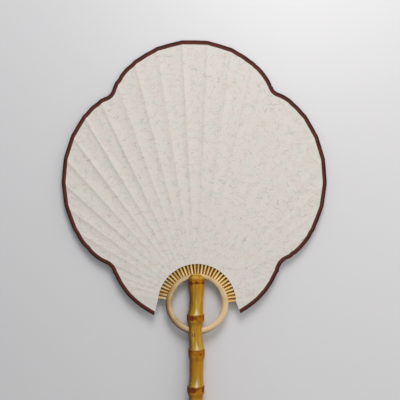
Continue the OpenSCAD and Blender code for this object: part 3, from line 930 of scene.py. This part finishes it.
# Tints of the skin and the push of its surface at a height and a turn round the cane
def caneSkin(y, turn, r, x, front):
    look = cane
    side = Vector((math.sin(turn), 0, math.cos(turn)))
    push = look["swell"] * noise.noise(Vector((side.x * 1.2, y / 22, side.z * 1.2)))
    push += look["ripple"] * noise.noise(Vector((side.x * 5, y / 5, side.z * 5)))
    jag = look["jag"] * noise.noise(Vector((side.x * 4, 2.5, side.z * 4)))
    scar = joint = paintedHighlight = 0.0
    for k, at in enumerate(look["joints"]):
        d = y - at["y"]
        if abs(d) > at["stain"]:
            continue
        lipUp = look["band"] / 2
        band = smooth((lipUp + 0.3 - d) / 0.5) * smooth((d + 3.8 + jag) / 1.4)
        below = at["warmth"] * smooth((d + at["stain"]) / (0.7 * at["stain"])) * smooth(-d - 2)
        joint = max(joint, 0.85 * band, below)
        if k:
            scar = max(scar, 0.75 * math.exp(-((d - lipUp - 0.15) / 0.38) ** 2))
        else:
            # The top joint's band ends below in dark teeth
            tooth = abs((math.degrees(turn) + 38) / 42 % 1 - 0.5)
            scar = max(scar, 0.85 * math.exp(-((d + 1.7 + 2.2 * tooth) / 0.55) ** 2))
        # The painted highlight, for the window's glint on the flare above each joint, is a tall flame
        # that widens down to the joint
        tall = look["highlightTall"]
        if k and lipUp < d < tall:
            spread = math.radians(mix(*look["highlightWide"], (d - lipUp) / (tall - lipUp)))
            inside = 1 - abs((turn - math.radians(look["highlightTurn"])) / spread)
            flame = smooth(inside * 1.2) * smooth((d - lipUp) / 1.2) * smooth((tall - d) / 8)
            paintedHighlight = max(paintedHighlight, look["highlightMost"] * flame)
    for k, degrees, up, width, tall, dark, eye in look["scars"]:
        d = y - look["joints"][k]["y"] - up
        if abs(d) > 6:
            continue
        gap = (turn - math.radians(degrees) + math.pi) % (2 * math.pi) - math.pi
        reach = math.hypot(gap * max(r, 5) / width, d / tall)
        reach += 0.3 * noise.noise(Vector((gap * r * 0.9, d * 0.9, 5 * k + degrees)))
        rim = math.exp(-((reach - 0.9) / 0.35) ** 2)
        scar = max(scar, dark * (0.6 * rim if eye else smooth(1.9 - reach)))
        joint = max(joint, smooth(1.6 - reach))
        push += 0.22 * rim - 0.18 * math.exp(-(reach / 0.5) ** 2)
    for place, low, high in look["nicks"]:
        if front and low - 0.4 < y < high + 0.4:
            ends = smooth((y - low) / 0.6 + 0.5) * smooth((high - y) / 0.6 + 0.5)
            near = smooth(1.4 - abs(x - place) / 0.5) * ends
            scar = max(scar, 0.9 * near)
            push -= 0.25 * near
    # Painted shade: the cane's left side, turned away from the side light, is darkened
    sideShade = look["sideShadeMost"] * smooth((-side.x - look["sideShadeFrom"]) / look["sideShadeOver"])
    return push, dict(scar=scar, joint=joint, paintedHighlight=paintedHighlight, sideShade=sideShade)


def makeHandle():
    look = cane
    bm = bmesh.new()
    layers = {name: bm.verts.layers.float.new(name) for name in skinTints}
    domeStart = look["length"] - look["domeRound"]
    heights = [look["buttRound"] * (1 - math.cos(math.radians(90 * k / 6))) for k in range(1, 6)]
    heights += [mix(look["buttRound"], domeStart, k / look["rows"]) for k in range(look["rows"] + 1)]
    heights += [
        domeStart + look["domeRound"] * math.sin(math.radians(90 * k / 14)) for k in range(1, 15)]
    profile = [bm.verts.new((0, 0, 0))]
    profile += [bm.verts.new((caneRadius(y), y, 0)) for y in heights]
    profile.append(bm.verts.new((0, look["length"], 0)))
    edges = [bm.edges.new(pair) for pair in zip(profile, profile[1:])]
    bmesh.ops.spin(bm, geom=profile + edges, cent=(0, 0, 0), axis=(0, 1, 0), angle=math.radians(360),
                   steps=look["around"], use_merge=True)
    bmesh.ops.remove_doubles(bm, verts=bm.verts, dist=0.0005)
    # The hanging hole: both skins opened inside a circle, the rims made round and joined by a tunnel
    hole = look["holeWidth"] / 2
    opened = []
    for face in bm.faces:
        middle = face.calc_center_median()
        if abs(middle.z) > 3 and math.hypot(middle.x, middle.y - look["holeUp"]) < hole:
            opened.append(face)
    bmesh.ops.delete(bm, geom=opened, context="FACES")
    rims = [e for e in bm.edges if e.is_boundary]
    for v in {v for e in rims for v in e.verts}:
        flat = Vector((v.co.x, v.co.y - look["holeUp"])).normalized() * hole
        v.co.x, v.co.y = flat.x, look["holeUp"] + flat.y
    bmesh.ops.bridge_loops(bm, edges=rims)
    for v in bm.verts:
        r = math.hypot(v.co.x, v.co.z)
        turn = math.atan2(v.co.x, v.co.z)                           # positive to the right
        push, tints = caneSkin(v.co.y, turn, r, v.co.x, v.co.z > 0)
        for name, value in tints.items():
            v[layers[name]] = value
        if r > 1:
            push *= clamp((r - 1) / 3)
            v.co += Vector((math.sin(turn), 0, math.cos(turn))) * push
        v.co.x += caneDrift(v.co.y)
    finishPiece("caneHandle", bm, [makeCaneMaterial()], ["handle"], sharp=70)


makeHandle()
print("cane handle turned")


# Table top: a painted board, pale grey and matt. Painted light makes it paler to the right, and a
# painted sheen brightens it towards the window. It is tilted so that the handle's top joint and the
# far edge of the leaf both touch it
table = dict(
    colour="d5d4d5", roughness=0.42, palerOver=(-0.2, 0.1), paler=(0.96, 1.07),
    sheenAt=(0.08, 0.47, 0), sheenReach=0.24, sheen=0.12,
    handleTouch=(158.8, -8.35), leafTouch=(399.6, -1.75), size=3000,
)


def makeTable():
    material, tree, shader, coords = startMaterial("paintedTableTop")
    across = addNode(tree, "SeparateXYZ", {0: coords}).outputs[0]
    paler = addNode(tree, "MapRange", [across, *table["palerOver"], *table["paler"]])
    near = addNode(tree, "VectorMath", [coords, table["sheenAt"]], operation="DISTANCE")
    sheen = addNode(tree, "MapRange", [
        near.outputs["Value"], 0.0, table["sheenReach"], table["sheen"], 0.0],
        interpolation_type="SMOOTHSTEP")
    tone = addNode(tree, "Math", [paler.outputs[0], sheen.outputs[0]], operation="ADD").outputs[0]
    colour = addNode(tree, "Mix", {0: 1.0, 6: linear(table["colour"]), 7: tone}, **multiplied)
    tree.links.new(colour.outputs[2], shader.inputs["Base Color"])
    shader.inputs["Roughness"].default_value = table["roughness"]
    (nearY, nearZ), (farY, farZ) = table["handleTouch"], table["leafTouch"]
    slope = (farZ - nearZ) / (farY - nearY)
    bm = bmesh.new()
    bmesh.ops.create_grid(bm, x_segments=8, y_segments=8, size=table["size"] / 2)
    for v in bm.verts:
        v.co.z = nearZ + slope * (v.co.y - nearY)
    bmesh.ops.scale(bm, vec=(mm, mm, mm), verts=bm.verts)
    mesh = bpy.data.meshes.new("tableTop")
    bm.to_mesh(mesh)
    bm.free()
    mesh.materials.append(material)
    top = bpy.data.objects.new("tableTop", mesh)
    bpy.context.scene.collection.objects.link(top)


makeTable()


# A window beyond the top of the fan gives the shadows, a wide soft light stands to the right
lights = dict(
    aim=(0.004, 0.24, 0),
    window=dict(bearing=5, height=44, distance=1.3, size=0.6, power=10.75, colour="ffffff"),
    sideLight=dict(bearing=80, height=42, distance=1.7, size=2.2, power=11.5, colour="fff9f2"),
    skyColour="f2f4f8", sky=0.4,
)


def placeLight(name):
    look = lights[name]
    lamp = bpy.data.lights.new(name, "AREA")
    lamp.shape = "SQUARE"
    lamp.size = look["size"]
    lamp.energy = look["power"]
    lamp.color = linear(look["colour"])[:3]
    holder = bpy.data.objects.new(name, lamp)
    flat = atBearing(1, look["bearing"])
    up = math.radians(look["height"])
    away = Vector((flat.x * math.cos(up), flat.y * math.cos(up), math.sin(up)))
    holder.location = Vector(lights["aim"]) + away * look["distance"]
    holder.rotation_euler = away.to_track_quat("Z", "Y").to_euler()
    bpy.context.scene.collection.objects.link(holder)


placeLight("window")
placeLight("sideLight")
world = bpy.data.worlds.new("studio")
bpy.context.scene.world = world
world.use_nodes = True
background = world.node_tree.nodes["Background"]
background.inputs[0].default_value = linear(lights["skyColour"])
background.inputs[1].default_value = lights["sky"]

# The camera looks straight down on the leaf, a little right of the handle
camera = dict(x=4.0, y=239.3, distance=800, field=400, sensor=36)
lens = bpy.data.cameras.new("camera")
lens.sensor_width = camera["sensor"]
lens.lens = camera["sensor"] * camera["distance"] / camera["field"]
eye = bpy.data.objects.new("camera", lens)
eye.location = (camera["x"] * mm, camera["y"] * mm, camera["distance"] * mm)
bpy.context.scene.collection.objects.link(eye)
bpy.context.scene.camera = eye
bpy.context.scene.view_settings.view_transform = "Standard"
print("table, lights and camera placed")
